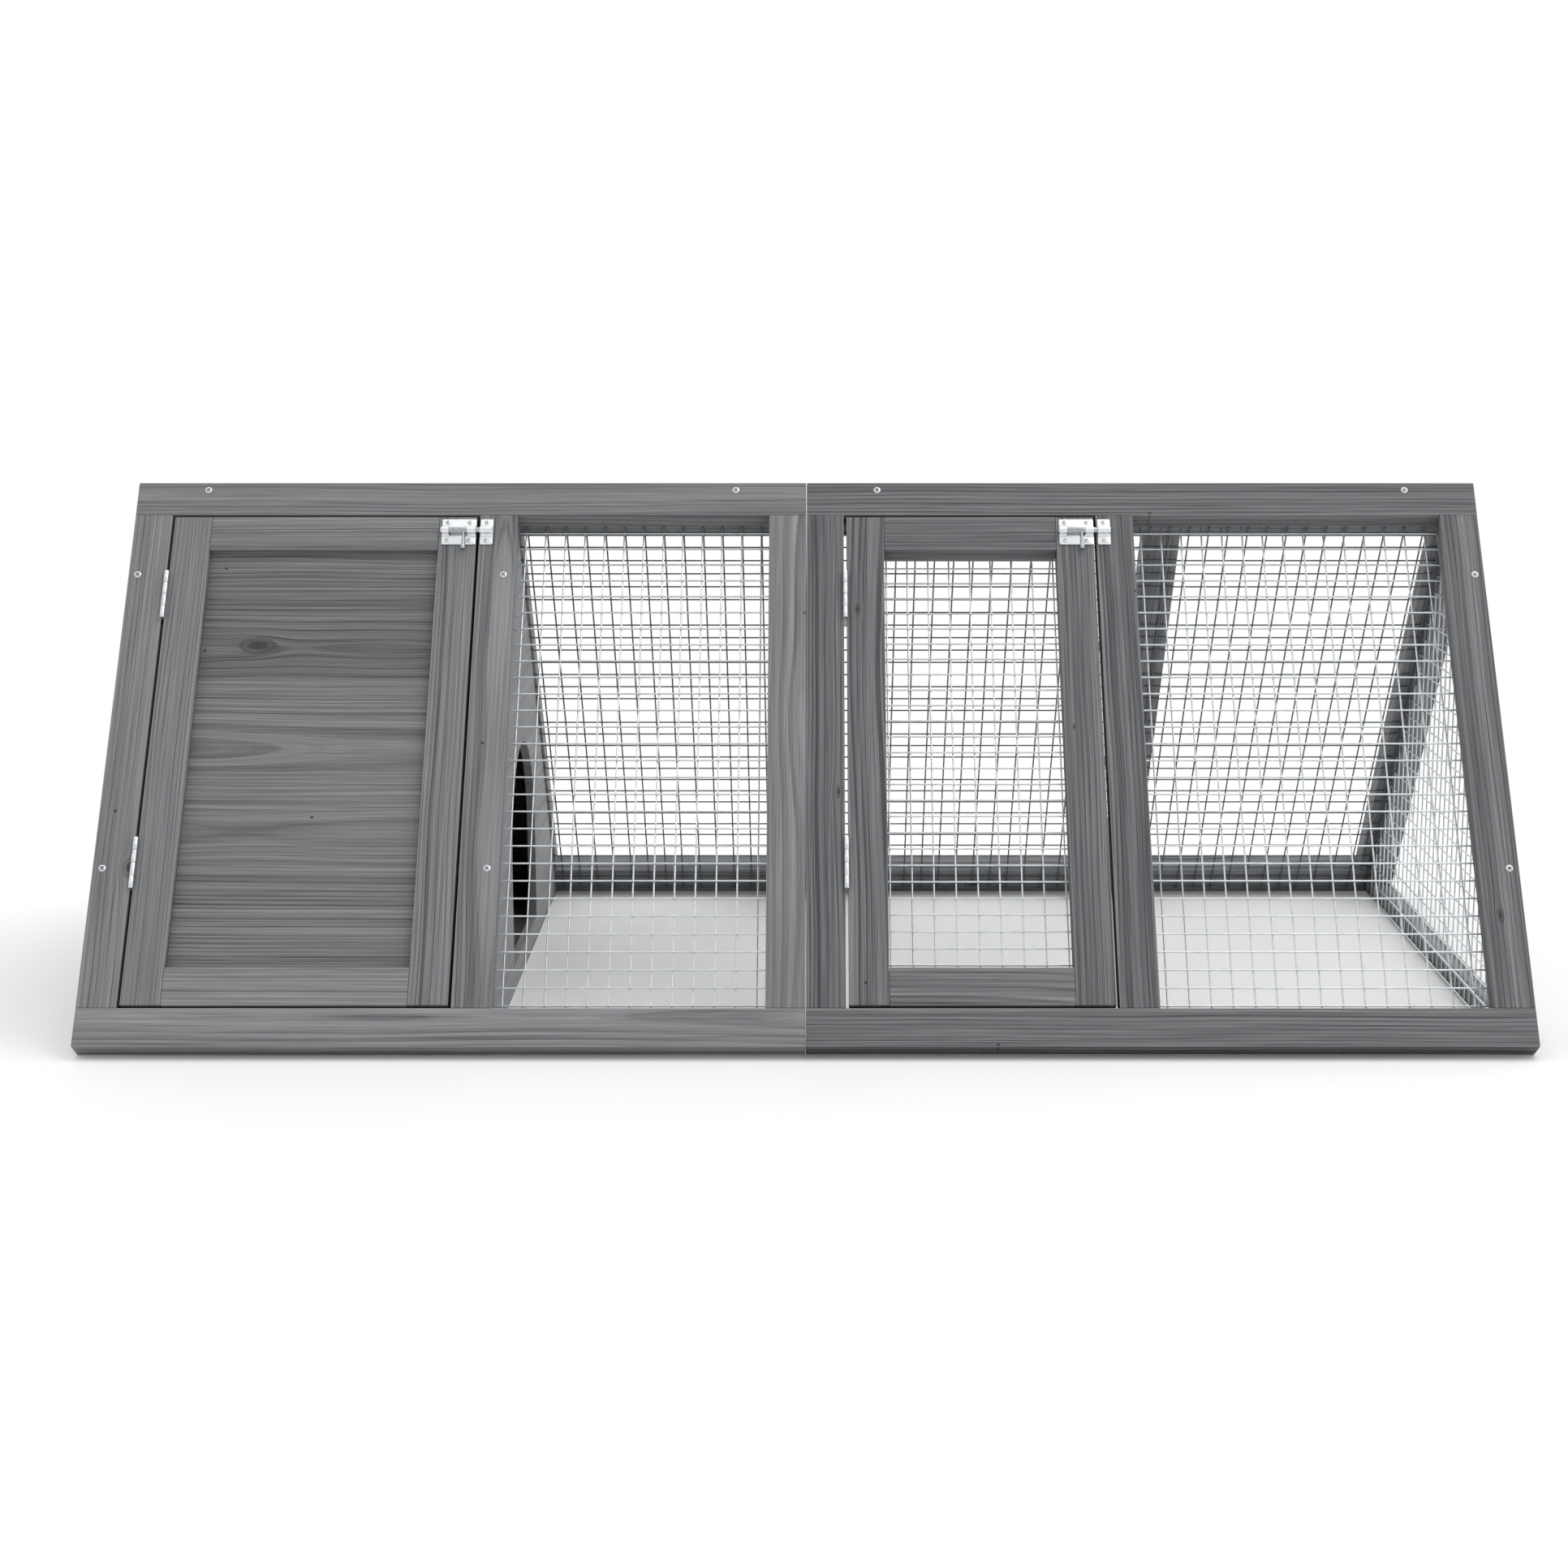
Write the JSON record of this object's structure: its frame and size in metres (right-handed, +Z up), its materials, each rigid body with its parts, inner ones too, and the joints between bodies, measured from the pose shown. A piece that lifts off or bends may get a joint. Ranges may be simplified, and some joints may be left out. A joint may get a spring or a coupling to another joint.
{
  "type": "rabbit hutch",
  "caption": "A-frame rabbit hutch with a boarded nest behind a solid door and a bottomless wire-mesh run with a meshed door, joined by an arched doorway.",
  "frame": {"origin": "centre of the footprint, on the ground below the ridge", "axes": "+X along the ridge towards the meshed end, +Y from the doors' side to the back, +Z up"},
  "size_m": [1.3, 0.677, 0.4831],
  "materials": {
    "stained_frame_timber": "grey stain, dry and matt",
    "stained_boards": "grey stain, dry and matt",
    "nest_floor_timber": "dark, matt",
    "galvanised_mesh": "galvanised, dull",
    "zinc_plated_hinge": "bright zinc",
    "zinc_plated_bolt": "bright zinc"
  },
  "bodies": {
    "hutch": {"front_left_top_rail": "stained_frame_timber", "front_left_bottom_rail": "stained_frame_timber", "front_left_outer_stile": "stained_frame_timber", "front_left_mid_stile": "stained_frame_timber", "front_left_seam_stile": "stained_frame_timber", "front_left_mesh": "galvanised_mesh", "left_door_lower_hinge_frame_leaf": "zinc_plated_hinge", "left_door_upper_hinge_frame_leaf": "zinc_plated_hinge", "left_door_bolt_keeper": "zinc_plated_bolt", "front_right_top_rail": "stained_frame_timber", "front_right_bottom_rail": "stained_frame_timber", "front_right_seam_stile": "stained_frame_timber", "front_right_mid_stile": "stained_frame_timber", "front_right_outer_stile": "stained_frame_timber", "front_right_mesh": "galvanised_mesh", "right_door_lower_hinge_frame_leaf": "zinc_plated_hinge", "right_door_upper_hinge_frame_leaf": "zinc_plated_hinge", "right_door_bolt_keeper": "zinc_plated_bolt", "back_left_top_rail": "stained_frame_timber", "back_left_bottom_rail": "stained_frame_timber", "back_left_outer_stile": "stained_frame_timber", "back_left_mid_stile": "stained_frame_timber", "back_left_seam_stile": "stained_frame_timber", "back_left_panel": "stained_boards", "back_left_mesh": "galvanised_mesh", "back_right_top_rail": "stained_frame_timber", "back_right_bottom_rail": "stained_frame_timber", "back_right_seam_stile": "stained_frame_timber", "back_right_mid_stile": "stained_frame_timber", "back_right_outer_stile": "stained_frame_timber", "back_right_seam_mesh": "galvanised_mesh", "back_right_outer_mesh": "galvanised_mesh", "left_end_board": "stained_boards", "partition": "stained_boards", "nest_floor": "nest_floor_timber", "right_end_sill": "stained_frame_timber", "right_end_front_rafter": "stained_frame_timber", "right_end_back_rafter": "stained_frame_timber", "right_end_mesh": "galvanised_mesh"},
    "left_door": {"left_door_hinge_stile": "stained_frame_timber", "left_door_latch_stile": "stained_frame_timber", "left_door_top_rail": "stained_frame_timber", "left_door_bottom_rail": "stained_frame_timber", "left_door_panel": "stained_boards", "left_door_lower_hinge_door_leaf": "zinc_plated_hinge", "left_door_upper_hinge_door_leaf": "zinc_plated_hinge", "left_door_bolt_body": "zinc_plated_bolt"},
    "left_bolt": {"left_door_bolt_rod": "zinc_plated_bolt"},
    "right_door": {"right_door_hinge_stile": "stained_frame_timber", "right_door_latch_stile": "stained_frame_timber", "right_door_top_rail": "stained_frame_timber", "right_door_bottom_rail": "stained_frame_timber", "right_door_mesh": "galvanised_mesh", "right_door_lower_hinge_door_leaf": "zinc_plated_hinge", "right_door_upper_hinge_door_leaf": "zinc_plated_hinge", "right_door_bolt_body": "zinc_plated_bolt"},
    "right_bolt": {"right_door_bolt_rod": "zinc_plated_bolt"}
  },
  "joints": [
    {"name": "left_door_hinge", "type": "hinge", "parent": "hutch", "child": "left_door", "pos_m": [-0.6126, -0.157, 0.26997], "axis": [0, -0.5845, -0.8114], "range_deg": [0, 170]},
    {"name": "left_bolt_slide", "type": "slide", "parent": "left_door", "child": "left_bolt", "axis": [-1, 0, 0], "range_m": [0, 0.012]},
    {"name": "right_door_hinge", "type": "hinge", "parent": "hutch", "child": "right_door", "pos_m": [0.0374, -0.157, 0.26997], "axis": [0, -0.5845, -0.8114], "range_deg": [0, 170]},
    {"name": "right_bolt_slide", "type": "slide", "parent": "right_door", "child": "right_bolt", "axis": [-1, 0, 0], "range_m": [0, 0.012]}
  ]
}
